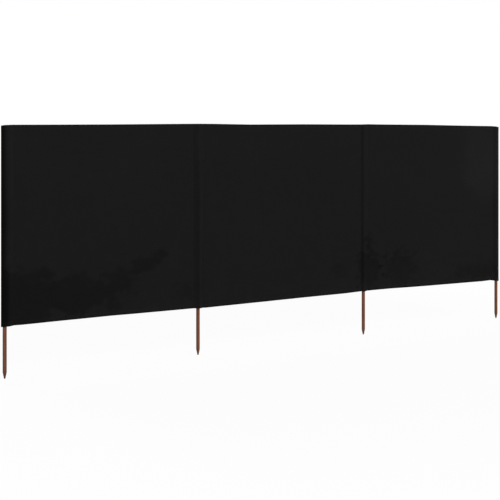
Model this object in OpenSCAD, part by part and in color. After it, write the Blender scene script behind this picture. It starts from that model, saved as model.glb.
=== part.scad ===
// Beach windbreak: three bays of cloth hung on four pointed wooden posts.
// The cloth is sewn into a sleeve round each post. The two inner posts are
// also the hinges on which the outer bays swing.
//
// Frame: X runs along the row, +Y is the back, +Z is up. The origin is the
// centre of the blunt tip of post_2, the left one of the two inner posts.

/* [Cloth] */
// Width of the cloth from one outer edge to the other
cloth_w = 4000; // [3200:50:4800]
// Height of the cloth
cloth_h = 1200; // [800:50:1400]
// Thickness of one layer of cloth
cloth_t = 0.8; // [0.6:0.1:1]
// Distance between the axes of the two inner posts
middle_bay = 1355; // [1000:5:1700]
// Height of the folded hem along the top and bottom edges
hem_h = 25; // [15:1:40]

/* [Posts] */
// Length of a post from its tip to its top end
post_len = 1500; // [1450:10:1800]
// Diameter of a post
post_d = 24; // [18:1:30]
// Length of the taper at the tip
tip_len = 38; // [25:1:60]
// Diameter of the blunt end of the tip
tip_d = 8; // [5:1:12]
// Bevel round the top end
top_bevel = 3; // [1:0.5:5]

/* [Sleeves] */
// Width of an inner sleeve laid flat, from one stitch line to the other
inner_sleeve_w = 75; // [60:1:100]
// Width of an end sleeve laid flat, from its outer fold to its stitch line
end_sleeve_w = 80; // [70:1:110]
// Distance from the axis of an end post to the outer fold of its sleeve
end_inset = 22; // [20:1:32]
// Clearance between a post and its sleeve, and between a sleeve and its seam strips
fit_gap = 0.3; // [0.2:0.1:0.6]
// Height of the sewn-shut closure above the post's top end
closure_h = 5; // [3:1:12]

/* [Hidden] */
// Two layers lie together in a seam strip, and three in a hem.
seam_t = 2 * cloth_t;
hem_t = 3 * cloth_t;

post_r = post_d / 2;
bore_r = post_r + fit_gap;
sleeve_r = bore_r + cloth_t;
strip_start = sleeve_r + fit_gap;

bore_top = post_len + fit_gap;
cloth_top = bore_top + closure_h;
cloth_bottom = cloth_top - cloth_h;

outer_bay = (cloth_w - 2 * end_inset - middle_bay) / 2;
post_x = [-outer_bay, 0, middle_bay, middle_bay + outer_bay];

// The stitch lines on the two sides of each sleeve, as distances from the post's axis.
inner_reach = inner_sleeve_w / 2;
end_reach = end_sleeve_w - end_inset;

// Each bay's cloth runs from one stitch line to the next.
panel_x = [
    [post_x[0] + end_reach, post_x[1] - inner_reach],
    [post_x[1] + inner_reach, post_x[2] - inner_reach],
    [post_x[2] + inner_reach, post_x[3] - end_reach]
];

stain = "#71483a";
black = "#1b1b1b";
$fn = 96;

// A round post, tapered to a blunt tip below and bevelled above.
module post(i) {
    color(stain)
    translate([post_x[i - 1], 0, 0])
    rotate_extrude()
    polygon([
        [0, 0],
        [tip_d / 2, 0],
        [post_r, tip_len],
        [post_r, post_len - top_bevel],
        [post_r - top_bevel, post_len],
        [0, post_len]
    ]);
}

// The room for a post inside its sleeve: open below, closed above.
module sleeve_bore() {
    translate([0, 0, -1])
    cylinder(r = bore_r, h = bore_top - cloth_bottom + 1);
}

// The tube of cloth round an inner post.
module inner_sleeve(i) {
    color(black)
    translate([post_x[i - 1], 0, cloth_bottom])
    difference() {
        cylinder(r = sleeve_r, h = cloth_h);
        sleeve_bore();
    }
}

// The tube of cloth round an end post, with the fold that runs out past it.
// side is -1 for the left end of the row and 1 for the right.
module end_sleeve(i, side) {
    color(black)
    translate([post_x[i - 1], 0, cloth_bottom])
    difference() {
        union() {
            cylinder(r = sleeve_r, h = cloth_h);
            translate([side < 0 ? -end_inset : 0, -seam_t / 2, 0])
            cube([end_inset, seam_t, cloth_h]);
        }
        sleeve_bore();
    }
}

// The flat double layer between a sleeve's tube and one of its stitch lines.
// side is -1 to the left of the post and 1 to its right.
module seam_strip(i, side, reach) {
    near_left = side < 0 ? -reach : strip_start;
    color(black)
    translate([post_x[i - 1] + near_left, -seam_t / 2, cloth_bottom])
    cube([reach - strip_start, seam_t, cloth_h]);
}

// A slab of cloth over the width of one bay, between two heights.
module across_bay(i, thickness, low, high) {
    span = panel_x[i - 1];
    color(black)
    translate([span[0], -thickness / 2, low])
    cube([span[1] - span[0], thickness, high - low]);
}

module panel(i) across_bay(i, cloth_t, cloth_bottom + hem_h, cloth_top - hem_h);
module top_hem(i) across_bay(i, hem_t, cloth_top - hem_h, cloth_top);
module bottom_hem(i) across_bay(i, hem_t, cloth_bottom, cloth_bottom + hem_h);

post(1);  // post_1
post(2);  // post_2
post(3);  // post_3
post(4);  // post_4

end_sleeve(1, -1);  // sleeve_1
inner_sleeve(2);  // sleeve_2
inner_sleeve(3);  // sleeve_3
end_sleeve(4, 1);  // sleeve_4

seam_strip(1, 1, end_reach);  // seam_strip_1
seam_strip(2, -1, inner_reach);  // seam_strip_2_left
seam_strip(2, 1, inner_reach);  // seam_strip_2_right
seam_strip(3, -1, inner_reach);  // seam_strip_3_left
seam_strip(3, 1, inner_reach);  // seam_strip_3_right
seam_strip(4, -1, end_reach);  // seam_strip_4

panel(1);  // panel_1
panel(2);  // panel_2
panel(3);  // panel_3

top_hem(1);  // top_hem_1
top_hem(2);  // top_hem_2
top_hem(3);  // top_hem_3

bottom_hem(1);  // bottom_hem_1
bottom_hem(2);  // bottom_hem_2
bottom_hem(3);  // bottom_hem_3
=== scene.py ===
# %% [markdown]
# # A beach windbreak
# Four pointed wooden poles carry 4 m of black cloth, 1.2 m high. The cloth is one long
# piece with a folded hem along its top and bottom. At each end it is folded back round a
# pole and sewn down. At the two inner poles a narrow strip is sewn on behind, and the pole
# stands in the pocket between strip and cloth. The end bays swing about the inner poles.
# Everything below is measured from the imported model, so that it fits the frame as it is.

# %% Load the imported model
import math

import bpy
import numpy as np
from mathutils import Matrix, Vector


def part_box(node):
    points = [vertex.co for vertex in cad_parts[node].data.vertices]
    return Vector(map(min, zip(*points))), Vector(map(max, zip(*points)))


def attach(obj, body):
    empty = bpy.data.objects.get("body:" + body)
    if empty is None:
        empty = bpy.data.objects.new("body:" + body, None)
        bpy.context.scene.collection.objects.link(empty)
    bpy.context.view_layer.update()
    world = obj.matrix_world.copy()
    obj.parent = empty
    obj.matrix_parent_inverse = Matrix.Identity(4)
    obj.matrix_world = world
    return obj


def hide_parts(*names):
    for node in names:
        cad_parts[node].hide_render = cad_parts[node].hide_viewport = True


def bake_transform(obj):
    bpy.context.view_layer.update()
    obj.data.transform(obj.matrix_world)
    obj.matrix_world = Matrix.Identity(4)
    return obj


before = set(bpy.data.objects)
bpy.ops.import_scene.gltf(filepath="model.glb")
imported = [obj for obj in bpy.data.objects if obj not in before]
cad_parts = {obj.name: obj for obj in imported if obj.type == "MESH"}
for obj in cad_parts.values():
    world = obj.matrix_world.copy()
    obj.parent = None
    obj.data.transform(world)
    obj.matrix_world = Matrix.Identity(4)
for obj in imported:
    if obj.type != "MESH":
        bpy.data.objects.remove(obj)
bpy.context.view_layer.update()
MM = 0.001

# %% [markdown]
# ## Sizes
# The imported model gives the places: the axis and thickness of each pole, the stitch lines
# between which each bay's cloth runs, and the thickness of one layer. Lists run from the
# left end of the row to the right.

# %% Read the sizes off the frame
pole_boxes = [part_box(f"post_{i}") for i in (1, 2, 3, 4)]
panel_boxes = [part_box(f"panel_{i}") for i in (1, 2, 3)]
sleeve_boxes = [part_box(f"sleeve_{i}") for i in (1, 2, 3, 4)]

pole_x = [(low.x + high.x) / 2 for low, high in pole_boxes]
pole_r = (pole_boxes[0][1].x - pole_boxes[0][0].x) / 2
pole_top = pole_boxes[0][1].z
layer = panel_boxes[0][1].y - panel_boxes[0][0].y
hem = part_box("top_hem_1")[1].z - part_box("top_hem_1")[0].z
bays = [(low.x, high.x) for low, high in panel_boxes]
cloth_left, cloth_right = sleeve_boxes[0][0].x, sleeve_boxes[3][1].x
sheet = 0.94 * layer  # a little thinner than the solid's layer, so that neighbours stay clear
print("pole axes:", [round(x, 4) for x in pole_x])
print("pole radius", round(pole_r, 4), "cloth layer", round(layer, 5))

# %% [markdown]
# ## The outline of the cloth
# Cloth that hangs from poles is never quite a rectangle. Its edges wander by a few
# millimetres between the poles, and the corners at the two ends droop. Two tables hold the
# heights, as (place along the row, height), and the edges run smoothly from one to the next.
# All the pieces use the same two functions, so that they meet.

# %% Top and bottom edge
EDGE_TOP = [
    (-1.3225, 1.4985), (-1.314, 1.5022), (-1.29, 1.5032), (-1.25, 1.5048), (-0.98, 1.5064),
    (-0.59, 1.5091), (0.0, 1.5153), (0.12, 1.5149), (0.40, 1.5114), (0.85, 1.5147),
    (1.20, 1.5144), (1.33, 1.5150), (1.40, 1.5168), (1.50, 1.5156), (1.94, 1.5141),
    (2.24, 1.5099), (2.50, 1.5071), (2.622, 1.5062), (2.651, 1.5036), (2.670, 1.5024),
    (2.684, 1.4984),
]
EDGE_BOTTOM = [
    (-1.314, 0.3080), (-1.275, 0.3117), (-1.20, 0.3095), (-0.98, 0.3106), (-0.62, 0.3116),
    (-0.45, 0.3093), (-0.165, 0.3083), (0.02, 0.3075), (0.055, 0.3042), (0.21, 0.3050),
    (0.85, 0.3080), (1.20, 0.3091), (1.37, 0.3134), (1.60, 0.3122), (1.79, 0.3082),
    (2.24, 0.3028), (2.50, 0.2994), (2.60, 0.3015), (2.632, 0.3003), (2.653, 0.2914),
]
ROUND_OVER = (-6, -3, 0, 3, 6)


def ease(t):
    """0 below 0, 1 above 1, and smooth between them."""
    t = np.clip(t, 0.0, 1.0)
    return t * t * (3 - 2 * t)


def edge(x, table):
    """The table's height at x, averaged over a few places round it to take off the corners."""
    near = [np.interp(x + shift * MM, *zip(*table)) for shift in ROUND_OVER]
    return sum(near) / len(near)


def top_edge(x):
    return edge(x, EDGE_TOP)


def bottom_edge(x):
    return edge(x, EDGE_BOTTOM)


middle = (bays[1][0] + bays[1][1]) / 2
print("mid-bay edges:", round(float(top_edge(middle)), 4), round(float(bottom_edge(middle)), 4))

# %% [markdown]
# ## Folds and puckers
# The cloth is taut, so it shows no deep folds, only a slow billow, faint pulls and dents low
# in the end bays, and short puckers beside each line of stitching. A cloth simulation could
# make them, but a sheet this tight hardly moves. Smooth noise on a lattice of random numbers
# gives such shapes under control, and the same ones each run.

# %% Smooth noise
def noise(a, b, seed):
    """Smooth noise from -1 to 1 over two coordinates, one random number for each unit square."""
    table = np.random.default_rng(seed).uniform(-1, 1, (64, 64))
    a, b = np.broadcast_arrays(np.asarray(a, float), np.asarray(b, float))
    i, j = np.floor(a).astype(int), np.floor(b).astype(int)
    u, v = ease(a - i), ease(b - j)
    low = table[i % 64, j % 64] * (1 - u) + table[(i + 1) % 64, j % 64] * u
    high = table[i % 64, (j + 1) % 64] * (1 - u) + table[(i + 1) % 64, (j + 1) % 64] * u
    return low * (1 - v) + high * v


def ridge(x, z, start, end, width):
    """1 along the line from start to end, falling to 0 at width from it."""
    line = np.array(end) - np.array(start)
    length = np.hypot(*line)
    on = ((x - start[0]) * line[0] + (z - start[1]) * line[1]) / length
    off = ((x - start[0]) * -line[1] + (z - start[1]) * line[0]) / length
    ends = ease(on / (0.35 * length)) * ease((length - on) / (0.35 * length))
    return ends * np.exp(-((off / width) ** 2))


# %% The cloth's way out of its plane
PUCKER = 0.7 * MM
PUCKER_REACH = 9.0 * MM
CALM_BESIDE_SEAM = 70.0 * MM

# Pulls: (bay, depth, low end and high end as (from the bay's left, height), width)
PULLED = [
    (0, 9.0 * MM, (0.02, 0.36), (1.12, 0.86), 0.16),
    (0, -5.0 * MM, (0.05, 0.62), (0.98, 0.98), 0.13),
]
# Dents: (bay, depth, from the bay's left, height, size)
DENTED = [
    (2, 3.0 * MM, 0.07, 0.42, 0.06),
    (2, -2.5 * MM, 0.22, 0.44, 0.07),
    (2, 2.0 * MM, 0.30, 0.52, 0.06),
]


def waves(x, z, bay):
    """The slow billow and the fine slanting ripples of the open cloth."""
    slow = 3.5 * MM * noise(x / 0.42 + 7 * bay, z / 0.36, 11)
    slow = slow + 1.2 * MM * noise(x / 0.17, z / 0.12, 12)
    rising = 0.9 * MM * noise((x + 0.7 * z) / 0.22, (z - 0.25 * x) / 0.055, 13)
    falling = 0.9 * MM * noise((x - 0.8 * z) / 0.24, (z + 0.3 * x) / 0.060, 14)
    return slow + rising + falling


def billow(x, z):
    """How far the cloth stands behind its plane in a bay. It is nothing at the stitch lines."""
    y = np.zeros(np.broadcast(x, z).shape)
    for k, (start, end) in enumerate(bays):
        side = np.maximum(np.minimum(x - start, end - x), 0)
        free = np.sin(np.pi * side / (end - start)) ** 0.8
        near = side / PUCKER_REACH
        short = PUCKER * near * np.exp(1 - near) * noise(z / 0.013, side / 0.020 + 5 * k, 15)
        large = np.zeros(y.shape)
        for bay, depth, low, high, width in PULLED:
            if bay == k:
                large = large + depth * ridge(x - start, z, low, high, width)
        for bay, depth, cx, cz, size in DENTED:
            if bay == k:
                across, up = (x - start - cx) / size, (z - cz) / (1.4 * size)
                large = large + depth * np.exp(-(across**2) - up**2)
        y = y + free * waves(x, z, k) + short + large * ease(side / CALM_BESIDE_SEAM)
    return y


sample = billow(np.linspace(*bays[0], 60)[:, None], np.linspace(0.33, 1.48, 60)[None, :])
print("billow in mm:", np.round([sample.min() / MM, sample.max() / MM], 1))

# %% [markdown]
# ## Tone, and painted light and shade, on the black
# The black varies a little in tone at random. Noise in the finish could vary it, but these
# marks have places of their own: a long patch of painted shade low in the left bay, spots of
# painted shade beside the third pole and in the right bay, and a painted pool of light at the
# top right. Painted shade also darkens the left end towards its fold, the crease at the seam
# right of the second pole and a band right of the third pole, and a painted highlight runs
# along the left end's seam. So a map of them is worked out here and kept on each piece as a
# number for each point: above 0 is paler, below 0 is deeper.

# %% Random tone and painted light and shade
SHADE_PATCH_TOP = ((-1.32, -1.0, -0.756, -0.5, -0.22), (0.67, 0.62, 0.56, 0.62, 0.70))
SHADE_PATCH_BOTTOM = ((-1.32, -0.9, -0.6, -0.4, -0.24), (0.26, 0.29, 0.37, 0.50, 0.68))
SHADE_PATCH_END = -0.2

# Spots of painted shade: (place along the row, height, half width, half height, how deep)
SHADE_SPOTS = [
    (1.41, 0.43, 0.08, 0.17, 0.43),
    (1.70, 0.45, 0.12, 0.11, 0.36),
    (1.15, 0.47, 0.06, 0.05, 0.28),
    (2.45, 0.38, 0.19, 0.06, 0.34),
    (-0.10, 0.43, 0.08, 0.05, 0.26),
]


def painted_shade_patch(x, z, ragged):
    """1 in the long patch of painted shade between its two lines, whose edges are ragged."""
    below = (np.interp(x, *SHADE_PATCH_TOP) - z) / 0.10
    above = (z - np.interp(x, *SHADE_PATCH_BOTTOM)) / 0.11
    return ease(0.35 + below + ragged) * ease(0.35 + above + ragged) * (x < SHADE_PATCH_END)


def upright(x, middle, width):
    """1 on an upright line, falling away on both sides of it."""
    return np.exp(-(((x - middle) / width) ** 2))


def tone_and_painted_shading(x, z):
    """The random tone and the painted light and shade at a place on the cloth."""
    cloud = 0.6 * noise(x / 0.14, z / 0.09, 51) + 0.35 * noise(x / 0.05, z / 0.04, 52)
    speck = noise(x / 0.026, z / 0.022, 54)
    change = 0.12 * noise(x / 0.55, z / 0.3, 53) + 0.05 * cloud
    # painted shade: the long dark patch low in the left bay
    change = change - 0.50 * painted_shade_patch(x, z, cloud + 0.4 * speck)
    # painted shade: dark spots beside the third pole and in the right bay
    for cx, cz, wide, high, depth in SHADE_SPOTS:
        away = np.hypot((x - cx) / wide, (z - cz) / high)
        change = change - depth * ease(2.1 - 1.3 * away + 0.4 * cloud + 0.9 * speck)
    # painted light: a pale pool at the top right of the cloth, where the light falls brightest
    lit_corner = ease((x - 2.12) / 0.42) * ease((z - 0.70) / 0.50)
    pale_and_painted_light = ease(1.4 * lit_corner + 0.6 * cloud * lit_corner)
    # painted shade: the left end darkens towards its fold, which turns away from the light
    painted_shade_at_fold = ease((cloth_left + 60 * MM - x) / (58 * MM))
    # painted highlight: a paler line along the left end's seam
    painted_seam_highlight = upright(x, cloth_left + 64 * MM, 10 * MM) * ease((z - 0.5) / 0.3)
    # painted shade: a dark line in the crease at the seam right of the second pole
    painted_crease_shade = upright(x, bays[1][0] - 4 * MM, 6 * MM) * ease((1.05 - z) / 0.4)
    # painted shade: a dark band right of the third pole
    painted_shade_by_pole = upright(x, pole_x[2] + 22 * MM, 14 * MM)
    change = change + 0.42 * pale_and_painted_light + 0.22 * painted_seam_highlight
    return change - 0.8 * painted_shade_at_fold - 0.45 * painted_crease_shade - 0.22 * painted_shade_by_pole


# %% [markdown]
# ## Rows of the mesh
# A hem is the edge of the cloth turned over twice and sewn down, three layers in all. To
# make one continuous sheet, the rows of the mesh follow the cloth from the raw edge inside
# the bottom hem, down round the fold, up the face, and over into the top hem. A row says how
# far up the cloth it is, how far it is from the nearer edge, and how many layers behind the
# face it lies.

# %% Rows of the cloth and of the strips
ROW_STEP = 7.0 * MM
PAST_HEM = 1.05  # where the even rows of the face take over, in hem heights


def hem_rows(height, layers, puff):
    """Rows of a hem from the raw edge to the face: (share of its height, layers behind)."""
    inside = layers - 1
    tucked = [(0.36, inside), (0.9, inside), (0.955, inside + 0.15), (0.975, inside + 0.5)]
    tucked += [(0.955, inside + 0.85), (0.9, layers)]
    back = [(0.78, layers + 0.4 * puff), (0.5, layers + puff), (0.2, layers + 0.7 * puff)]
    fold = [(0.06, layers), (0.012, 0.8 * layers), (0.0, 0.5 * layers)]
    fold += [(0.012, 0.2 * layers), (0.06, 0.0)]
    front = [(0.2, -0.7 * puff), (0.5, -puff), (0.78, -0.4 * puff), (0.9, 0.0)]
    rows = (tucked if layers > 1 else []) + back + fold + front
    return [(share * height, behind) for share, behind in rows]


def all_rows(height, layers, puff):
    """All rows: (share of the cloth's height, metres up from there, layers behind the face)."""
    low = [(0.0, up, behind) for up, behind in hem_rows(height, layers, puff)]
    count = round((panel_boxes[1][1].z - panel_boxes[1][0].z) / ROW_STEP)
    shares = [i / count for i in range(count + 1)]
    face = [(share, height * PAST_HEM * (1 - 2 * share), 0.0) for share in shares]
    high = [(1.0, -up, behind) for up, behind in reversed(hem_rows(height, layers, puff))]
    return low + face + high


cloth_rows = all_rows(hem, 2, 0.35)
strip_hem = 0.5 * hem
strip_rows = all_rows(strip_hem, 1, 0.2)
print("rows:", len(cloth_rows), "in the cloth,", len(strip_rows), "in a strip")

# %% [markdown]
# ## From rows and columns to a closed mesh
# Every cloth piece is a grid of points half way through its thickness. This helper moves the
# grid half a layer each way along its normals, joins the two sides round the rim, and keeps
# the flat cloth's own measure, in metres, as the UV map for the weave to follow.

# %% A grid made into cloth
def put_in_scene(name, data):
    """An object at the origin. A piece's place is in its mesh."""
    item = bpy.data.objects.new(name, data)
    bpy.context.scene.collection.objects.link(item)
    return item


def piece_of(name, mesh):
    print(name, len(mesh.polygons), "faces")
    return put_in_scene(name, mesh)


def grid_normals(points):
    normal = np.cross(np.gradient(points, axis=0), np.gradient(points, axis=1))
    return normal / np.maximum(np.linalg.norm(normal, axis=2, keepdims=True), 1e-12)


def sheet_faces(columns, rows):
    """Faces of the front, of the back, whose points follow the front's, and of the rim."""
    index = np.arange(columns * rows).reshape(columns, rows)
    a, b, c, d = index[:-1, :-1], index[1:, :-1], index[1:, 1:], index[:-1, 1:]
    quads = np.stack([a, b, c, d], axis=-1).reshape(-1, 4)
    far = columns * rows
    sides = [index[:, 0], index[-1, 1:], index[::-1, -1][1:], index[0, ::-1][1:]]
    rim = np.concatenate(sides)
    walls = np.stack([rim[:-1], rim[:-1] + far, rim[1:] + far, rim[1:]], axis=-1)
    return np.concatenate([quads, quads[:, ::-1] + far, walls])


def flat_measure(points):
    """Where each point lies on the flat cloth, in metres."""
    step = np.linalg.norm(np.diff(points, axis=0), axis=2).mean(axis=1)
    climb = np.linalg.norm(np.diff(points, axis=1), axis=2).mean(axis=0)
    u = np.concatenate([[0], np.cumsum(step)]) + points[0, :, 0].mean()
    v = np.concatenate([[0], np.cumsum(climb)])
    return np.stack(np.meshgrid(u, v, indexing="ij"), axis=-1).reshape(-1, 2)


grids = {}


def cloth_mesh(name, points, outward):
    """A closed sheet. points is columns by rows by 3, and its face looks to outward."""
    normal = grid_normals(points)
    facing = (normal * np.array(outward)).sum(axis=2)
    turned = float(facing[: len(points) // 3].mean()) < 0
    grids[name] = (points, -normal if turned else normal)
    if turned:
        points, normal = points[::-1], -normal[::-1]
    front = (points + normal * sheet / 2).reshape(-1, 3)
    back = (points - normal * sheet / 2).reshape(-1, 3)
    mesh = bpy.data.meshes.new(name)
    faces = sheet_faces(*points.shape[:2])
    mesh.from_pydata(np.concatenate([front, back]), [], faces.tolist())

    flat = np.tile(flat_measure(points), (2, 1))
    corners = np.empty(len(mesh.loops), int)
    mesh.loops.foreach_get("vertex_index", corners)
    mesh.uv_layers.new(name="flat_cloth").data.foreach_set("uv", flat[corners].ravel())
    change = np.tile(tone_and_painted_shading(points[..., 0], points[..., 2]).ravel(), 2).astype(np.float32)
    mesh.attributes.new("tone_and_painted_shading", "FLOAT", "POINT").data.foreach_set("value", change)
    mesh.shade_smooth()
    mesh.validate()
    return piece_of(name, mesh)


def heights(x, rows):
    """The height of each row at each x, and the layers behind the face, as two grids."""
    share, up, behind = (np.array(column)[None, :] for column in zip(*rows))
    low, high = bottom_edge(x)[:, None], top_edge(x)[:, None]
    return low + share * (high - low) + up, np.broadcast_to(behind, (len(x), behind.shape[1]))


def as_grid(x, y, z):
    return np.stack([np.broadcast_to(x[:, None], z.shape), y, z], axis=-1)


# %% [markdown]
# ## The cloth of the three bays
# Each bay's cloth runs between two stitch lines. Its columns stand close together near the
# stitching, where it puckers, and further apart in the open cloth.

# %% Cloth of the bays
FINE_STEP, COARSE_STEP, FINE_REACH = 2.6 * MM, 15.0 * MM, 90.0 * MM
TO_THE_FRONT, TO_THE_BACK = (0, -1, 0), (0, 1, 0)


def graded(start, end):
    """Places from start to end, fine steps at both ends and coarse ones between."""
    places = [0.0]
    half = (end - start) / 2
    while places[-1] < half:
        open_cloth = min(1.0, places[-1] / FINE_REACH)
        places.append(places[-1] + FINE_STEP + (COARSE_STEP - FINE_STEP) * open_cloth)
    left = np.array(places) * half / places[-1]
    return np.concatenate([start + left, (end - left)[-2::-1]])


def bay_cloth(name, span):
    x = graded(*span)
    z, behind = heights(x, cloth_rows)
    y = billow(x[:, None], z) + behind * layer
    return cloth_mesh(name, as_grid(x, y, z), TO_THE_FRONT)


SIDES = ("left", "middle", "right")
cloth_pieces = [bay_cloth(f"cloth_{side}", span) for side, span in zip(SIDES, bays)]

# %% [markdown]
# ## The pockets of the inner poles
# Seen from above, a pocket is a lens: each layer runs straight from the stitch line to the
# pole, rounds it, and runs straight to the other stitch line. Above the pole the two layers
# are sewn together, so the lens closes like the end of a bag. The front layer is the long
# cloth itself. It is drawn tight at the top, and lower down it hangs loose in front of the
# pole. The back one is the strip, whose two sides are turned under.

# %% Section of a pocket
# In lists by pole the poles count from 0 at the left. The inner ones are 1 and 2.
POCKET_REACH = bays[1][0] - pole_x[1]
EASE_ON_POLE = 0.25 * MM
CAP = [3.0 * MM, 9.0 * MM, 9.0 * MM, 3.0 * MM]  # how far below the top edge it is fully open
LOOSE_BELOW = [1.42, 1.44, 0.95, 1.40]  # the height below which its front hangs loose
FRONT_REACH = {1: (POCKET_REACH, POCKET_REACH), 2: (20.0 * MM, POCKET_REACH)}
HANGS_FORWARD = {1: 8.5 * MM, 2: 3.5 * MM}
LEANS = {1: 5.0 * MM, 2: 0.0}
HOLLOW = {1: 1.4 * MM, 2: 0.0}  # how far the cloth left of the pole is blown in
SOFT_AT_TOP = {1: 0.5, 2: 0.0}  # how much of a soft bulge shapes its tight top


def fullness(z, x, pole):
    """How open a pocket is: 1 along the pole, closing to nothing at the top edge."""
    below = np.clip((top_edge(x) - z) / CAP[pole], 0, 1)
    return np.sqrt(1 - (1 - below) ** 2)


def looseness(z, pole):
    """0 at the sewn top, where a pocket is drawn tight, and 1 where it hangs loose."""
    return ease((LOOSE_BELOW[pole] - z) / 0.35) * (1 + 0.06 * noise(z / 0.21, 0.5, 36 + pole))


def lens(off, reach, radius, forward=0.0):
    """How far a layer stands off: straight from reach to a round, which may hang forward."""
    span = np.hypot(reach, forward)
    slope = np.arctan2(forward, reach) + np.arcsin(np.minimum(radius / span, 0.97))
    straight = np.maximum(reach - np.abs(off), 0) * np.tan(slope)
    round_it = forward + np.sqrt(np.maximum(radius**2 - off**2, 0))
    return np.where(np.abs(off) < radius * np.sin(slope), round_it, straight)


def slack(x, z, pole, seed):
    """Small waves of the loose cloth beside the pole, nothing on the pole and at the stitching."""
    off = np.abs(x - pole_x[pole]) / POCKET_REACH
    room = np.clip(4 * (off - 0.25) * (1 - off) * 1.8, 0, 1)
    long_waves = 0.8 * MM * noise(z / 0.075, off * 2 + seed, seed)
    puckers = 0.5 * MM * ease((off - 0.6) / 0.25) * noise(z / 0.013, off * 3, seed + 1)
    return room * (long_waves + puckers)


# %% Front and back layer of an inner pocket
def off_axis():
    """Distances from the pole's axis, close together over the pole and at the stitching."""
    half = [0, 0.8, 1.6, 2.4, 3.2, 4.0, 5.2, 7, 9.5, 12.5, 16, 20, 24, 28, 31.5, 34, 36]
    half = np.array([*half, POCKET_REACH / MM]) * MM
    return np.concatenate([-half[:0:-1], half])


def hem_room(z, x):
    """The two hem layers behind the cloth, where there is a hem to cover."""
    from_edge = np.minimum(z - bottom_edge(x), top_edge(x) - z)
    return 2 * layer * ease((1.16 * hem - from_edge) / (0.2 * hem))


def front_pocket(name, pole):
    off = off_axis()
    x = pole_x[pole] + off
    z, behind = heights(x, cloth_rows)
    open_by = fullness(z, x[:, None], pole)
    radius = pole_r + EASE_ON_POLE + 0.5 * layer + hem_room(z, x[:, None])
    radius = radius * open_by
    loose = looseness(z, pole)
    forward = HANGS_FORWARD[pole] * loose * open_by
    share = off[:, None] / POCKET_REACH
    lean = LEANS[pole] * loose * (1 - share**2)
    reach = np.where(off < 0, *FRONT_REACH[pole])[:, None]
    stand = lens(off[:, None] - lean, reach, radius, forward)
    soft = (radius + forward) * np.cos(0.5 * np.pi * share) ** 2
    stand = stand + SOFT_AT_TOP[pole] * (1 - loose) * (soft - stand)
    hollow = HOLLOW[pole] * loose * np.clip(6 * (-share - 0.3) * (1 + share), 0, 1)
    y = hollow - stand + behind * layer - slack(x[:, None], z, pole, 21 + pole)
    return cloth_mesh(name, as_grid(x, y, z), TO_THE_FRONT)


# The strip's turned-under side: (millimetres past the stitch line, layers behind the strip)
TURN_UNDER = [
    (2.0, -1.0), (6.2, -1.0), (6.8, -0.85), (6.95, -0.5), (6.8, -0.15), (6.2, 0.0), (2.6, 0.0),
]


def back_pocket(name, pole):
    past, under = np.array(TURN_UNDER).T
    turn = POCKET_REACH + past * MM
    off = np.concatenate([-turn, off_axis(), turn[::-1]])
    under = np.concatenate([under, np.zeros(len(off_axis())), under[::-1]])
    x = pole_x[pole] + off
    z, behind = heights(x, strip_rows)
    radius = pole_r + EASE_ON_POLE + 1.5 * layer
    stand = lens(off[:, None], POCKET_REACH, radius * fullness(z, x[:, None], pole))
    y = 2 * layer + hem_room(z, x[:, None]) + stand * (1 - 1.6 * layer / pole_r)
    y = y + (under[:, None] - behind) * layer + slack(x[:, None], z, pole, 31 + pole)
    return cloth_mesh(name, as_grid(x, y + billow(x[:, None], z), z), TO_THE_BACK)


front_layers = [front_pocket(f"pocket_{i + 1}_front", i) for i in (1, 2)]
back_layers = [back_pocket(f"pocket_{i + 1}_back", i) for i in (1, 2)]

# %% [markdown]
# ## The end pockets
# At each end the cloth itself is folded back round the pole. From above it is a belt: from
# the stitch line round the pole, out to the fold, and back. Straight lines that touch two
# circles on the same side give that belt for any radius, so the top can close here too.

# %% A belt round circles
def belt(stations, turn):
    """Points along a belt past stations (x, y, radius, points on it, points to the next one)."""
    square_to = []
    for (x0, y0, r0, *_), (x1, y1, r1, *_) in zip(stations, stations[1:]):
        away = np.array([x1 - x0, y1 - y0])
        distance = np.hypot(*away)
        lean = (r0 - r1) / distance
        onward, outward = away / distance, turn * np.array([-away[1], away[0]]) / distance
        square_to.append(lean * onward + math.sqrt(max(0.0, 1 - lean**2)) * outward)
    points = []
    for k, (cx, cy, r, count, between) in enumerate(stations):
        first, last = square_to[max(k - 1, 0)], square_to[min(k, len(square_to) - 1)]
        start = math.atan2(first[1], first[0])
        swing = (start - math.atan2(last[1], last[0])) * turn % (2 * math.pi)
        swing = swing - 2 * math.pi if swing > 1.7 * math.pi else swing
        for step in np.linspace(0, 1, count):
            angle = start - turn * swing * step
            points.append((cx + r * math.cos(angle), cy + r * math.sin(angle)))
        if k < len(square_to):
            x1, y1, r1 = stations[k + 1][:3]
            here, there = np.array(points[-1]), np.array([x1, y1]) + r1 * last
            shares = np.linspace(0, 1, between + 2)[1:-1]
            points += [tuple(here + (there - here) * share) for share in shares]
    return np.array(points)


# %% Section of an end pocket
FOLD_OUT = {0: 0.5 * MM, 3: 7.0 * MM}
KEEP_APART = 0.4 * MM  # a rise along the belt, so no two points of the closed top fall together
THIN = 0.05 * layer

# The left front is a slack round: its middle's way from the pole, its drop back from there,
# how much less that is lower down, and its radius. The right one lifts at a point.
SLACK_AT, SLACK_DROP, SLACK_LESS, SLACK_ROUND = 18.0 * MM, 33.0 * MM, 7.0 * MM, 42.0 * MM
LIFTS_AT, LIFTS_BY = 27.0 * MM, 0.9 * MM


def front_station(pole, inward, loose, open_by, gap):
    """What shapes the front before the pole: a slack round, or the point where it lifts."""
    if pole == 0:
        drop = (SLACK_DROP - SLACK_LESS * loose) * open_by
        round_it = max(SLACK_ROUND * open_by - gap, THIN)
        return (pole_x[0] + inward * SLACK_AT, drop, round_it, 9, 4)
    return (pole_x[3] + inward * LIFTS_AT, LIFTS_BY * open_by + gap, 0.0, 1, 8)


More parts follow.
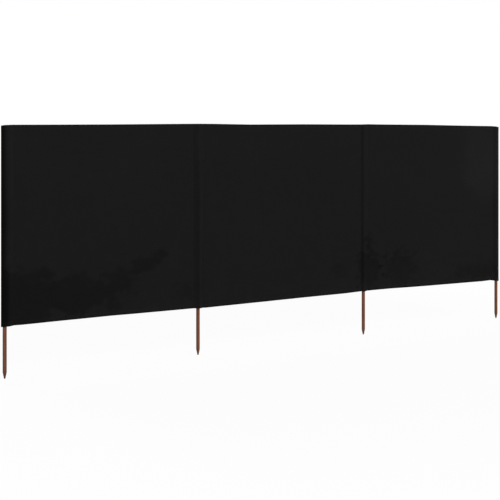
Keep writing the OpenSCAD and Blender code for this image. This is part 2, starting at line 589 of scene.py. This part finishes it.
def end_belt(pole, inward, seam_x, fold_x, z, under):
    """The cloth's way round an end pole at one height, under that many layers."""
    gap = layer * under
    hems = float(hem_room(z, pole_x[pole]))
    open_by = float(fullness(z, pole_x[pole], pole))
    loose = float(looseness(z, pole))
    on_pole = pole_r + EASE_ON_POLE + 0.5 * layer + hems
    on_pole = on_pole + 0.3 * MM * float(noise(z / 0.06, 0.3, 41 + pole))
    on_front = on_pole + (1.6 * MM * loose if pole == 0 else 0.0)
    on_front = max(on_front * open_by + 0.3 * layer - gap, THIN)
    on_back = max(on_pole * open_by + 0.3 * layer - gap, THIN)
    fold = max((1.2 * layer + 0.9 * hems - 0.45 * gap) * open_by, 0.2 * layer)
    fold_at = fold_x + inward * (1.7 * layer + 0.9 * hems)
    back = 2 * layer + hems - gap
    stations = [
        (seam_x, gap, 0.0, 1, 6 if pole == 0 else 7),
        front_station(pole, inward, loose, open_by, gap),
        (pole_x[pole], 0.5 * layer, on_front, 11, 6),
        (fold_at, layer, fold, 9, 6),
        (pole_x[pole], 0.5 * layer, on_back, 11, 14),
        (seam_x, back, 0.0, 1, 3),
        (seam_x + inward * 6.4 * MM, back - 0.5 * layer, 0.5 * layer, 7, 4),
        (seam_x + inward * 2.0 * MM, back - layer, 0.0, 1, 0),
    ]
    return belt(stations, inward)


# %% Cloth of an end pocket
def end_pocket(name, pole):
    """The piece, and which of its columns carries the back seam."""
    inward = 1 if pole == 0 else -1
    seam_x = bays[0][0] if pole == 0 else bays[2][1]
    fold_x = (cloth_left if pole == 0 else cloth_right) - inward * FOLD_OUT[pole]
    places = np.array([seam_x, pole_x[pole], fold_x])
    level, behind = heights(places, cloth_rows)
    columns = []
    for z_by_place, under in zip(level.T, behind[0]):
        line = end_belt(pole, inward, seam_x, fold_x, z_by_place[1], under)
        up = np.interp(np.abs(line[:, 0] - seam_x), np.abs(places - seam_x), z_by_place)
        columns.append(np.column_stack([line, up + KEEP_APART * np.linspace(0, 1, len(up))]))
    grid = np.array(columns).transpose(1, 0, 2)
    from_seam = np.abs(grid[..., 0] - seam_x) / PUCKER_REACH
    share = np.linspace(0, 1, len(grid))[:, None]
    puckers = noise(grid[..., 2] / 0.014, share * 12, 43 + pole) * (share < 0.3)
    puckers = 0.5 * MM * from_seam * np.exp(1 - from_seam) * puckers
    grid[..., 1] += billow(grid[..., 0], grid[..., 2]) - puckers
    past_seam = inward * (grid[:, grid.shape[1] // 2, 0] - seam_x)
    seam = next(i for i in range(len(grid) // 2 + 1, len(grid)) if past_seam[i] > 1.5 * MM)
    print(name, "has", len(grid), "columns, the back seam is at", seam)
    return cloth_mesh(name, grid, TO_THE_FRONT), seam


end_pockets, back_seams = zip(end_pocket("pocket_1", 0), end_pocket("pocket_4", 3))

# %% [markdown]
# ## The poles
# Each pole is a turned rod with a blunt pencil point and a small bevel at the top. A plain
# lathe shape looks machined, so its rings wander by a tenth of a millimetre, and the cut of
# the point leaves shallow flats.

# %% Turn a pole
TURNS = 48
TIP_LENGTH, TIP_R = 38.0 * MM, 4.0 * MM
CUTS, CUT_DEPTH = 7, 0.22 * MM


def pole_rings():
    """(height, radius) of each ring from the tip's face to the top's."""
    tip = [(0.0, 0.35 * TIP_R), (0.0, 0.8 * TIP_R)]
    tip += [(0.15 * MM, 0.94 * TIP_R), (0.6 * MM, TIP_R * 1.02)]
    cone = [(TIP_LENGTH * s, TIP_R + (pole_r - TIP_R) * s) for s in np.linspace(0.06, 0.97, 14)]
    shoulder = [(TIP_LENGTH * 1.01, pole_r - 0.12 * MM), (TIP_LENGTH * 1.05, pole_r)]
    shaft = [(z, pole_r) for z in np.linspace(TIP_LENGTH + 8 * MM, pole_top - 4 * MM, 110)]
    top = [(pole_top - 3.2 * MM, pole_r - 0.1 * MM), (pole_top - 1.2 * MM, pole_r - 1.8 * MM)]
    top += [(pole_top - 0.6 * MM, pole_r - 2.8 * MM), (pole_top - 0.5 * MM, 0.4 * pole_r)]
    return tip + cone + shoulder + shaft + top


def turned_pole(name, number):
    rings = np.array(pole_rings())
    angle = np.arange(TURNS) * 2 * math.pi / TURNS
    z, r = rings[:, :1], rings[:, 1:]
    worn = 0.10 * MM * noise(z / 0.09, 3 + np.sin(angle) * 1.5, 60 + number)
    worn = worn + 0.06 * MM * noise(z / 0.30, 9 + np.cos(angle) * 2.5, 70 + number)
    flats = CUT_DEPTH * np.cos(CUTS * angle + 9 * number + z / 0.02)
    on_cone = ease(z / (6 * MM)) * ease((TIP_LENGTH - z) / (5 * MM))
    r = r + worn * ease(z / (3 * MM)) + flats * on_cone - 0.2 * MM * on_cone
    x, y = pole_x[number] + r * np.cos(angle), r * np.sin(angle)
    points = np.stack([x, y, np.broadcast_to(z, x.shape)], axis=-1).reshape(-1, 3)
    index = np.arange(len(points)).reshape(-1, TURNS)
    around = np.roll(index, -1, axis=1)
    walls = np.stack([index[:-1], around[:-1], around[1:], index[1:]], axis=-1).reshape(-1, 4)
    mesh = bpy.data.meshes.new(name)
    mesh.from_pydata(points, [], [*walls.tolist(), index[0, ::-1].tolist(), index[-1].tolist()])
    mesh.shade_smooth()
    return piece_of(name, mesh)


poles = [turned_pole(f"pole_{i + 1}", i) for i in range(4)]

# %% [markdown]
# ## Stitching
# Lockstitch shows as a row of short threads on both sides of the cloth. Thousands of equal
# small shapes along a path are work for Geometry Nodes: the paths go in as bare edges, are
# cut into steps of one stitch, and each step gets a small rounded thread turned along it.

# %% Paths along the rows and columns of a cloth piece
SUNK = 0.10 * MM
CLEAR_OF_EDGES = 3


def on_face(name):
    points, normal = grids[name]
    return points + normal * (sheet / 2 - SUNK)


def rows_at(rows, up, behind=0):
    """The rows of both hems at that distance from the edge, on the face or that far behind."""
    return [
        i for i, (share, d, k) in enumerate(rows)
        if share in (0, 1) and math.isclose(abs(d), up) and k in (0, behind)
    ]


def up_column(name, rows, column):
    face = [i for i, (_, _, k) in enumerate(rows) if k <= 0][CLEAR_OF_EDGES:-CLEAR_OF_EDGES]
    return on_face(name)[column, face]


def hem_seams(name, rows, columns, behind=0):
    """The seam that holds each hem, 0.9 of the hem's height from the edge."""
    height = hem if rows is cloth_rows else strip_hem
    return [on_face(name)[columns, row] for row in rows_at(rows, 0.9 * height, behind)]


# %% Where the stitching runs
def bay_paths(name):
    """Both hems, and the two seams beside the pockets."""
    seams = [up_column(name, cloth_rows, column) for column in (1, -2)]
    return hem_seams(name, cloth_rows, slice(1, -1), behind=2) + seams


def front_paths(name):
    """Both hems, and the row that closes the pocket above the pole."""
    closing = rows_at(cloth_rows, 0.06 * hem)[-1]
    whole = slice(None)
    return hem_seams(name, cloth_rows, whole, behind=2) + [on_face(name)[:, closing]]


def back_paths(name):
    """The strip's two seams and its own short hems."""
    seams = [up_column(name, strip_rows, column) for column in (6, -7)]
    return hem_seams(name, strip_rows, slice(6, -6)) + seams


def end_paths(name, back_seam):
    """Both hems round the pole, and the seam at the back."""
    seam = up_column(name, cloth_rows, back_seam)
    return hem_seams(name, cloth_rows, slice(0, back_seam)) + [seam]


# %% The stitch tree
STITCH = {
    "Stitch Pitch": 4.2 * MM,
    "Stitch Length": 3.5 * MM,
    "Thread Width": 0.62 * MM,
    "Shortest": 0.86,
    "Longest": 1.08,
    "Seed": 3,
}


def new_node(tree, kind, settings):
    made = tree.nodes.new(kind)
    for name, value in settings.items():
        setattr(made, name, value)
    return made


def stitch_tree(material):
    """Edges in, threads out: one rounded thread for each step along every path."""
    tree = bpy.data.node_groups.new("stitching", "GeometryNodeTree")
    tree.interface.new_socket("Paths", in_out="INPUT", socket_type="NodeSocketGeometry")
    for name, value in STITCH.items():
        kind = "NodeSocketInt" if isinstance(value, int) else "NodeSocketFloat"
        tree.interface.new_socket(name, in_out="INPUT", socket_type=kind).default_value = value
    tree.interface.new_socket("Threads", in_out="OUTPUT", socket_type="NodeSocketGeometry")

    def add(kind, **settings):
        return new_node(tree, kind, settings)

    given, result = add("NodeGroupInput"), add("NodeGroupOutput")
    curve = add("GeometryNodeMeshToCurve")
    steps = add("GeometryNodeResampleCurve", mode="LENGTH")
    tangent = add("GeometryNodeInputTangent")
    turned = add("FunctionNodeAlignRotationToVector", axis="Z")
    thread = add("GeometryNodeMeshUVSphere")
    for socket, value in (("Segments", 6), ("Rings", 4), ("Radius", 0.5)):
        thread.inputs[socket].default_value = value
    size = add("ShaderNodeCombineXYZ")
    vary = add("FunctionNodeRandomValue", data_type="FLOAT")
    long = add("ShaderNodeMath", operation="MULTIPLY")
    placed = add("GeometryNodeInstanceOnPoints")
    real = add("GeometryNodeRealizeInstances")
    smooth = add("GeometryNodeSetShadeSmooth")
    finish = add("GeometryNodeSetMaterial")
    finish.inputs["Material"].default_value = material
    for source, output, target, socket in (
        (given, "Paths", curve, "Mesh"),
        (curve, "Curve", steps, "Curve"),
        (given, "Stitch Pitch", steps, "Length"),
        (steps, "Curve", placed, "Points"),
        (thread, "Mesh", placed, "Instance"),
        (tangent, "Tangent", turned, "Vector"),
        (turned, "Rotation", placed, "Rotation"),
        (given, "Shortest", vary, 2),
        (given, "Longest", vary, 3),
        (given, "Seed", vary, "Seed"),
        (given, "Stitch Length", long, 0),
        (vary, 1, long, 1),
        (given, "Thread Width", size, "X"),
        (given, "Thread Width", size, "Y"),
        (long, "Value", size, "Z"),
        (size, "Vector", placed, "Scale"),
        (placed, 0, real, 0),
        (real, 0, smooth, 0),
        (smooth, 0, finish, 0),
        (finish, 0, result, 0),
    ):
        tree.links.new(source.outputs[output], target.inputs[socket])
    return tree


def sewn(name, lines, tree):
    """Threads along the lines, as one plain mesh."""
    points, edges = [], []
    for line in lines:
        edges += [(len(points) + i, len(points) + i + 1) for i in range(len(line) - 1)]
        points += line.tolist()
    paths = bpy.data.meshes.new(name + "_paths")
    paths.from_pydata(points, edges, [])
    holder = put_in_scene(name + "_paths", paths)
    sewing = holder.modifiers.new("stitching", "NODES")
    sewing.node_group = tree
    for item in tree.interface.items_tree:
        if item.name in STITCH:
            sewing[item.identifier] = STITCH[item.name]
    bpy.context.view_layer.update()
    evaluated = holder.evaluated_get(bpy.context.evaluated_depsgraph_get())
    mesh = bpy.data.meshes.new_from_object(evaluated)
    mesh.name = name
    bpy.data.objects.remove(holder)
    return piece_of(name, mesh)


# %% [markdown]
# ## Writing a finish as sums
# A finish is a graph of nodes, and most of them are arithmetic. To keep the recipes readable,
# a small class stands for one socket, and plain sums on it add the Math nodes. Any other node
# comes from one method, which takes its kind, what goes into its sockets, and its settings.

# %% Values and finishes
class Value:
    """A socket in a finish. A sum written with it adds the Math node for that sum."""

    def __init__(self, finish, socket):
        self.finish, self.socket = finish, socket

    def sum(self, operation, *numbers):
        return self.finish.add("ShaderNodeMath", dict(enumerate(numbers)), operation=operation)

    def __add__(self, other):
        return self.sum("ADD", self, other)

    def __sub__(self, other):
        return self.sum("SUBTRACT", self, other)

    def __rsub__(self, other):
        return self.sum("SUBTRACT", other, self)

    def __mul__(self, other):
        return self.sum("MULTIPLY", self, other)

    __radd__, __rmul__ = __add__, __mul__


class Finish:
    """The nodes that make a finish, in a material or in the world."""

    def __init__(self, owner):
        self.owner = owner
        owner.use_nodes = True
        self.tree = owner.node_tree
        self.tree.nodes.clear()

    def add(self, kind, sockets=None, output=0, **settings):
        made = new_node(self.tree, kind, settings)
        for place, value in (sockets or {}).items():
            if isinstance(value, Value):
                self.tree.links.new(value.socket, made.inputs[place])
            else:
                made.inputs[place].default_value = value
        return Value(self, made.outputs[output]) if len(made.outputs) else made

    def object_place(self):
        return self.add("ShaderNodeTexCoord", output="Object")

    def stretched(self, place, scale):
        return self.add("ShaderNodeMapping", {"Vector": place, "Scale": scale})

    def part_of(self, place, axis):
        return self.add("ShaderNodeSeparateXYZ", {"Vector": place}, axis)

    def bump(self, strength, distance, height, **more):
        sockets = {"Strength": strength, "Distance": distance, "Height": height, **more}
        return self.add("ShaderNodeBump", sockets)

    def grain(self, place, scale, detail=2.0, rough=0.5, swirl=0.0):
        """Noise from 0 to 1."""
        sockets = {"Vector": place, "Scale": scale, "Detail": detail, "Roughness": rough}
        return self.add("ShaderNodeTexNoise", {**sockets, "Distortion": swirl})

    def between(self, value, low, high):
        """0 where the value is at low, 1 where it is at high, and smooth between."""
        sockets = {"Value": value, "From Min": low, "From Max": high}
        return self.add("ShaderNodeMapRange", sockets, interpolation_type="SMOOTHSTEP")

    def mix(self, share, first, second):
        """The colour that is first at share 0 and second at share 1."""
        sockets = {0: share, 6: first, 7: second}
        return self.add("ShaderNodeMix", sockets, output=2, data_type="RGBA")

    def surface(self, colour, roughness, normal, **constants):
        """End in one shader. Constants are set on its own sockets."""
        sockets = {"Base Color": colour, "Roughness": roughness, "Normal": normal}
        sockets.update({key.replace("_", " "): value for key, value in constants.items()})
        shader = self.add("ShaderNodeBsdfPrincipled", sockets)
        self.add("ShaderNodeOutputMaterial", {"Surface": shader})
        print(self.owner.name, len(self.tree.nodes), "nodes")
        return self.owner


# %% [markdown]
# ## Stained wood
# The poles are turned from a light hardwood and stained a warm red-brown. The stain sinks in
# unevenly: long streaks follow the grain, fine pores stay dark, and the sawn point, with its
# open grain and the soil it is pushed into, is darkest. Noise stretched twenty to fifty times
# along the pole gives the grain. The pores and the streaks also feed the bump and the roughness.

# %% Wood of the poles
def wood_finish():
    wood = Finish(bpy.data.materials.new("stained_wood"))
    place = wood.object_place()
    height = wood.part_of(place, "Z")
    streak = wood.grain(wood.stretched(place, (1.0, 1.0, 0.045)), 75.0, 3.0, 0.55, 0.6)
    fibre = wood.grain(wood.stretched(place, (1.0, 1.0, 0.02)), 620.0, 3.0, 0.6)
    pores = wood.grain(wood.stretched(place, (1.0, 1.0, 0.05)), 900.0, 1.0)
    pores = wood.between(pores, 0.60, 0.72)
    patch = wood.grain(place, 5.0, 3.0, 0.6)
    worn = wood.between(wood.grain(place, 28.0, 4.0, 0.7), 0.56, 0.72)
    point = 1.0 - wood.between(height, 0.004, 0.040)
    soiled = (1.0 - wood.between(height, 0.0, 0.085)) * wood.grain(place, 60.0, 3.0, 0.7)

    sunk, pale = (0.106, 0.035, 0.015, 1), (0.186, 0.068, 0.031, 1)
    colour = wood.mix(wood.between(streak, 0.30, 0.70), sunk, pale)
    for share, tint in (
        (wood.between(fibre, 0.35, 0.75) * 0.35, (0.205, 0.082, 0.040, 1)),
        (wood.between(patch, 0.35, 0.75) * 0.30, (0.105, 0.034, 0.014, 1)),
        (worn * 0.16, (0.225, 0.100, 0.058, 1)),
        (pores * 0.55, (0.045, 0.014, 0.006, 1)),
        (point * 0.30, (0.060, 0.022, 0.011, 1)),
        (soiled * 0.75, (0.050, 0.028, 0.018, 1)),
    ):
        colour = wood.mix(share, colour, tint)

    rough = 0.50 + 0.12 * streak + 0.16 * pores + 0.18 * point + 0.14 * soiled - 0.05 * worn
    relief = 0.5 * fibre + 0.35 * streak - 0.7 * pores
    bump = wood.bump(0.55, 0.35 * MM, relief)
    return wood.surface(colour, rough, bump, Specular_IOR_Level=0.20)


pole_wood = wood_finish()

# %% [markdown]
# ## Black cloth
# The cloth is a plain weave of black yarn, about 18 threads to the centimetre. In a plain
# weave each thread goes over one and under the next, like a chessboard: on the black squares
# the upright thread is on top, on the white ones the level thread. The sine of the place
# across a thread gives its round back. The weave follows the UV map, which holds the flat
# cloth's own measure, so that it bends with the folds. Thicker yarns, called slubs, and dust
# vary the black. It has little shine, so the specular level is low, and a trace of sheen
# stands for the fibre ends.

# %% Weave and colour of the cloth
THREAD = 0.56 * MM
SLUBS = ((1.0, 0.02, 1.0), (0.02, 1.0, 1.0))  # stretched up the cloth, and along it


def cloth_finish(name, light, dark, deeper_and_painted_shade, pale_and_painted_light, dusty):
    cloth = Finish(bpy.data.materials.new(name))
    flat = cloth.add("ShaderNodeUVMap", uv_map="flat_cloth")
    across, up = cloth.part_of(flat, "X"), cloth.part_of(flat, "Y")
    over_across = across.sum("SINE", across * (math.pi / THREAD))
    over_up = up.sum("SINE", up * (math.pi / THREAD))
    on_top = cloth.between(over_across * over_up, -0.10, 0.10)
    upright_thread = over_across.sum("ABSOLUTE", over_across)
    level_thread = over_up.sum("ABSOLUTE", over_up)
    weave = on_top * upright_thread + (1.0 - on_top) * level_thread

    slubs = [cloth.grain(cloth.stretched(flat, long), 420.0, 2.0) for long in SLUBS]
    slub_up, slub_along = (cloth.between(slub, 0.52, 0.75) for slub in slubs)
    place = cloth.object_place()
    fade = cloth.grain(place, 1.6, 3.0, 0.55)
    blotch = cloth.grain(place, 14.0, 4.0, 0.6)
    dust = cloth.between(cloth.grain(place, 190.0, 4.0, 0.7), 0.58, 0.80)
    near_sand = 1.0 - cloth.between(cloth.part_of(place, "Z"), 0.30, 0.46)
    splashed = near_sand * cloth.between(blotch, 0.45, 0.75)

    tone = 0.16 * fade + 0.24 * blotch + 0.15 * slub_up + 0.15 * slub_along + 0.30 * weave
    colour = cloth.mix(cloth.between(tone, 0.12, 0.66), dark, light)
    change = cloth.add("ShaderNodeAttribute", output="Fac", attribute_name="tone_and_painted_shading")
    # The deeper tint carries random dark tone and the map's painted shade. The pale tint carries
    # random pale tone, the painted pool of light and the painted seam highlight.
    for share, tint in (
        (cloth.between(change, 0.0, -1.0), deeper_and_painted_shade),
        (cloth.between(change, 0.0, 1.0), pale_and_painted_light),
        (dust * 0.20, dusty),
        (splashed * 0.12, dusty),
    ):
        colour = cloth.mix(share, colour, tint)
    rough = 0.80 + 0.12 * blotch - 0.06 * weave
    bump = cloth.bump(0.6, 0.12 * MM, weave + 0.5 * slub_up + 0.5 * slub_along)
    bump = cloth.bump(0.35, 0.6 * MM, blotch, Normal=bump)
    sheen = {"Sheen_Weight": 0.004, "Sheen_Roughness": 0.5}
    return cloth.surface(colour, rough, bump, Specular_IOR_Level=0.03, **sheen)


black_cloth = cloth_finish(
    "black_cloth",
    light=(0.0098, 0.0098, 0.0099, 1),
    dark=(0.0060, 0.0060, 0.0061, 1),
    deeper_and_painted_shade=(0.0022, 0.0022, 0.0022, 1),
    pale_and_painted_light=(0.0148, 0.0148, 0.0150, 1),
    dusty=(0.0185, 0.0175, 0.0165, 1),
)

# %% [markdown]
# ## Thread
# The thread is black too, but smoother than the cloth, so it catches a little more light.
# Its twisted plies are too fine to draw one by one, so a very fine noise breaks up its tone
# and its surface, and a slow one makes some stitches paler than others.

# %% Thread
def thread_finish():
    thread = Finish(bpy.data.materials.new("black_thread"))
    place = thread.object_place()
    ply = thread.grain(place, 2600.0, 1.0)
    tone = thread.between(thread.grain(place, 9.0, 2.0), 0.3, 0.7)
    colour = thread.mix(tone, (0.0100, 0.0100, 0.0105, 1), (0.0170, 0.0170, 0.0178, 1))
    colour = thread.mix(thread.between(ply, 0.45, 0.6) * 0.4, colour, (0.006, 0.006, 0.006, 1))
    bump = thread.bump(0.4, 0.08 * MM, ply)
    return thread.surface(colour, 0.50 + 0.12 * ply, bump, Specular_IOR_Level=0.25)


thread_black = thread_finish()

# %% Sew
tree = stitch_tree(thread_black)
left_seam, right_seam = back_seams
seams = {
    "left": bay_paths("cloth_left") + end_paths("pocket_1", left_seam),
    "middle": bay_paths("cloth_middle"),
    "right": bay_paths("cloth_right") + end_paths("pocket_4", right_seam),
    "pocket_2": front_paths("pocket_2_front") + back_paths("pocket_2_back"),
    "pocket_3": front_paths("pocket_3_front") + back_paths("pocket_3_back"),
}
stitches = {name: sewn(f"stitches_{name}", lines, tree) for name, lines in seams.items()}

# %% [markdown]
# ## Which piece moves with what
# Each bay's cloth and its pole ride on one body. The two inner pockets cross the joints, and
# the pole stands on the line between, so they are baked in place and ride on no body. The
# imported solids that these pieces stand for are hidden.

# %% Give every piece its finish and its body
all_cloth = [*cloth_pieces, *front_layers, *back_layers, *end_pockets]
for pole in poles:
    pole.data.materials.append(pole_wood)
for piece in all_cloth:
    piece.data.materials.append(black_cloth)

for number, body in enumerate(("left_bay", "middle_bay", "middle_bay", "right_bay")):
    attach(poles[number], body)
    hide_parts(f"post_{number + 1}")
for number, side in enumerate(SIDES):
    for piece in (cloth_pieces[number], stitches[side]):
        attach(piece, side + "_bay")
    stood_for = [f"{part}_{number + 1}" for part in ("panel", "top_hem", "bottom_hem")]
    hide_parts(*stood_for)
for piece, body, nodes in (
    (end_pockets[0], "left_bay", ("sleeve_1", "seam_strip_1")),
    (end_pockets[1], "right_bay", ("sleeve_4", "seam_strip_4")),
):
    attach(piece, body)
    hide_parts(*nodes)

# %% Bake the inner pockets in place and hide the solids they stand for
crossings = ((2, ("left_bay", "middle_bay")), (3, ("middle_bay", "right_bay")))
for place, (number, pair) in enumerate(crossings):
    for piece in (front_layers[place], back_layers[place], stitches[f"pocket_{number}"]):
        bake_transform(piece)
    strips = [f"seam_strip_{number}_{side}" for side in ("left", "right")]
    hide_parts(f"sleeve_{number}", *strips)

# %% [markdown]
# ## Sizes that the cloth was cut to
# The sheet's flat sizes are the long cloth's height with both hems turned in, by the width
# of each bay or pocket. All of it is stretched between the poles.

def length(line):
    return float(np.linalg.norm(np.diff(line, axis=0), axis=1).sum())


def cut_size(name):
    """Along its middle row, and up its middle column."""
    points, _ = grids[name]
    columns, rows = points.shape[:2]
    return length(points[:, rows // 2]), length(points[columns // 2])


held_by = {f"cloth_{side}": [i, i + 1] for i, side in enumerate(SIDES)}
held_by.update({"pocket_1": [0], "pocket_4": [3]})
held_by.update({f"pocket_{i}_{side}": [i - 1] for i in (2, 3) for side in ("front", "back")})
sewn_on = {f"cloth_{side}": side for side in SIDES}
sewn_on.update({f"pocket_{i}_front": f"pocket_{i}" for i in (2, 3)})
for piece in all_cloth:
    name = piece.name
    flat = cut_size(name)
    print(name, "cut to", [round(c, 3) for c in flat])

# %% [markdown]
# ## Floor, light and camera
# The floor is almost plain white. Near the windbreak a small part of it is lit, so it takes
# a faint shadow, and further out it turns quite plain, like the world, so no horizon shows.
# One large lamp stands to the front right and a weaker one to the front left. A third stands
# behind, so that the back of the cloth shows its strips and seams too, and the world gives
# the rest.

# %% Floor
SEEN = ("Is Camera Ray", "Is Glossy Ray", "Is Transmission Ray")
NEAR_WHITE = 0.955  # how plain the floor is near the windbreak
WHITENS = (1.5, 5.5)  # from where to where, in metres, it turns quite plain


def white_to_the_eye(finish):
    """1 for what the camera sees, directly, mirrored or through glass."""
    path = finish.tree.nodes.new("ShaderNodeLightPath")
    camera, glossy, through = (Value(finish, path.outputs[name]) for name in SEEN)
    return through.sum("MAXIMUM", camera.sum("MAXIMUM", camera, glossy), through)


def floor_finish():
    floor = Finish(bpy.data.materials.new("floor"))
    place = {0: floor.object_place()}
    away = floor.add("ShaderNodeVectorMath", place, output="Value", operation="LENGTH")
    white = NEAR_WHITE + (1 - NEAR_WHITE) * floor.between(away, *WHITENS)
    lit = floor.add("ShaderNodeBsdfDiffuse", {"Color": (0.55, 0.55, 0.55, 1)})
    plain = floor.add("ShaderNodeEmission", {"Color": (1, 1, 1, 1), "Strength": 1.0})
    sockets = {0: white * white_to_the_eye(floor), 1: lit, 2: plain}
    mixed = floor.add("ShaderNodeMixShader", sockets)
    floor.add("ShaderNodeOutputMaterial", {"Surface": mixed})
    return floor.owner


under = (0.68, 0, -0.5 * MM)
bpy.ops.mesh.primitive_circle_add(vertices=96, radius=40.0, fill_type="NGON", location=under)
floor = bpy.context.object
floor.name = "floor"
floor.data.materials.append(floor_finish())

# %% World
WORLD_LEVEL = 0.38
world = bpy.data.worlds.new("studio")
bpy.context.scene.world = world
studio = Finish(world)
level = WORLD_LEVEL + (1 - WORLD_LEVEL) * white_to_the_eye(studio)
light = studio.add("ShaderNodeBackground", {"Color": (1, 1, 1, 1), "Strength": level})
studio.add("ShaderNodeOutputWorld", {"Surface": light})

# %% Lamps
HEART = Vector((0.7, 0.0, 0.9))
LAMP_SIZE = 11.0


def lamp(name, place, power):
    data = bpy.data.lights.new(name, "AREA")
    data.shape, data.size, data.energy = "DISK", LAMP_SIZE, power
    item = put_in_scene(name, data)
    item.location = place
    item.rotation_euler = (HEART - item.location).to_track_quat("-Z", "Y").to_euler()
    item.visible_camera = False
    print(name, power, "W")


lamp("key", (7.9, -26.6, 19.0), 7280.0)
lamp("fill", (-16.0, -24.0, 9.0), 900.0)
lamp("back", (-6.0, 26.0, 17.0), 5200.0)

# %% Camera
eye = bpy.data.cameras.new("eye")
eye.lens, eye.sensor_width = 76.76, 36.0
eye.shift_x, eye.shift_y = 0.0, -0.2378
camera = put_in_scene("eye", eye)
camera.location = (-3.3303, -6.1561, 1.4671)
camera.rotation_euler = (math.radians(90.0), 0.0, math.radians(-31.207))
bpy.context.scene.camera = camera
bpy.context.scene.view_settings.view_transform = "Standard"
print("camera:", round(math.degrees(eye.angle), 1), "degrees wide")
